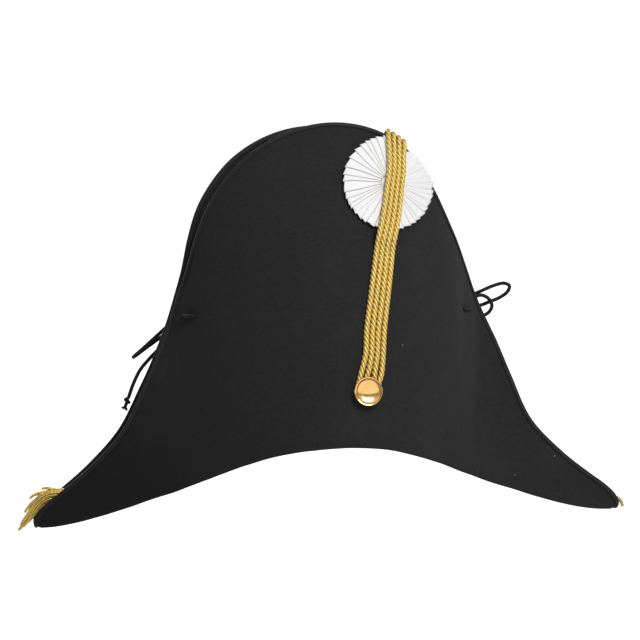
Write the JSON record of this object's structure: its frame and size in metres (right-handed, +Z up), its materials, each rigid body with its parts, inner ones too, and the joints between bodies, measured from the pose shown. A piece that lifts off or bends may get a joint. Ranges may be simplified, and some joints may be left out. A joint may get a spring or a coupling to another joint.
{
  "type": "bicorne hat",
  "caption": "Black felt bicorne hat with upturned front and back flaps, bound edge, pleated cockade, gold cord loop, button, side ties and tassels",
  "frame": {"origin": "centre of the head opening, level with the fold at its front and back; the head_seat mount", "axes": "+X from the wearer's right horn to the left one, +Y from the front flap to the back one, +Z up"},
  "size_m": [0.4695, 0.2211, 0.3054],
  "materials": {
    "felt": "matt black wool felt",
    "tape": "black woven binding tape",
    "ribbon": "white pleated ribbon",
    "gilt": "polished gilt",
    "gold_cord": "twisted gold cord",
    "bullion": "gold bullion fringe",
    "lace": "black braided lace"
  },
  "bodies": {
    "root": {"felt_body": "felt", "edge_binding": "tape", "cockade": "ribbon", "button": "gilt", "loop_cord_inner": "gold_cord", "loop_cord_outer": "gold_cord", "tassel_left": "bullion", "tassel_right": "bullion", "tie_right_stitch": "lace", "tie_right_knot": "lace", "tie_left_stitch": "lace", "tie_left_knot": "lace", "tie_right_loop_a": "lace", "tie_right_loop_b": "lace", "tie_right_tail": "lace", "tie_left_loop": "lace", "tie_left_tail_a": "lace", "tie_left_tail_b": "lace", "tie_right_end_knot": "lace", "tie_left_end_knot_a": "lace", "tie_left_end_knot_b": "lace"}
  },
  "joints": []
}
